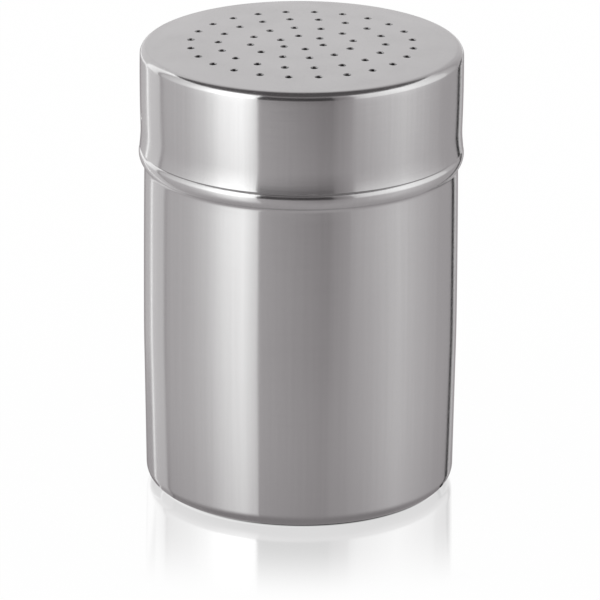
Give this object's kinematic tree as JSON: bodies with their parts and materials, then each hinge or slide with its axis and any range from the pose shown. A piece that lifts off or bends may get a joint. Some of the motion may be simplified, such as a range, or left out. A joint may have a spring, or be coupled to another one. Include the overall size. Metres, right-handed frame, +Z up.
{
  "type": "spice shaker",
  "caption": "Stainless spice shaker: a drawn can with a swaged bead under its neck, and a cap lid with rings of small sifting holes that lifts off.",
  "frame": {"origin": "middle of the can's base, on the surface that the shaker stands on", "axes": "+Z up along the can's axis; -Y is the front, as pictured"},
  "size_m": [0.0686, 0.0686, 0.0969],
  "materials": {
    "can_steel": "satin polished stainless sheet",
    "lid_steel": "satin polished stainless sheet"
  },
  "bodies": {
    "can": {"body_can": "can_steel"},
    "lid": {"perforated_lid": "lid_steel"}
  },
  "joints": [
    {"name": "lid_lift", "type": "slide", "parent": "can", "child": "lid", "axis": [0, 0, 1], "range_m": [0, 0.05]}
  ]
}
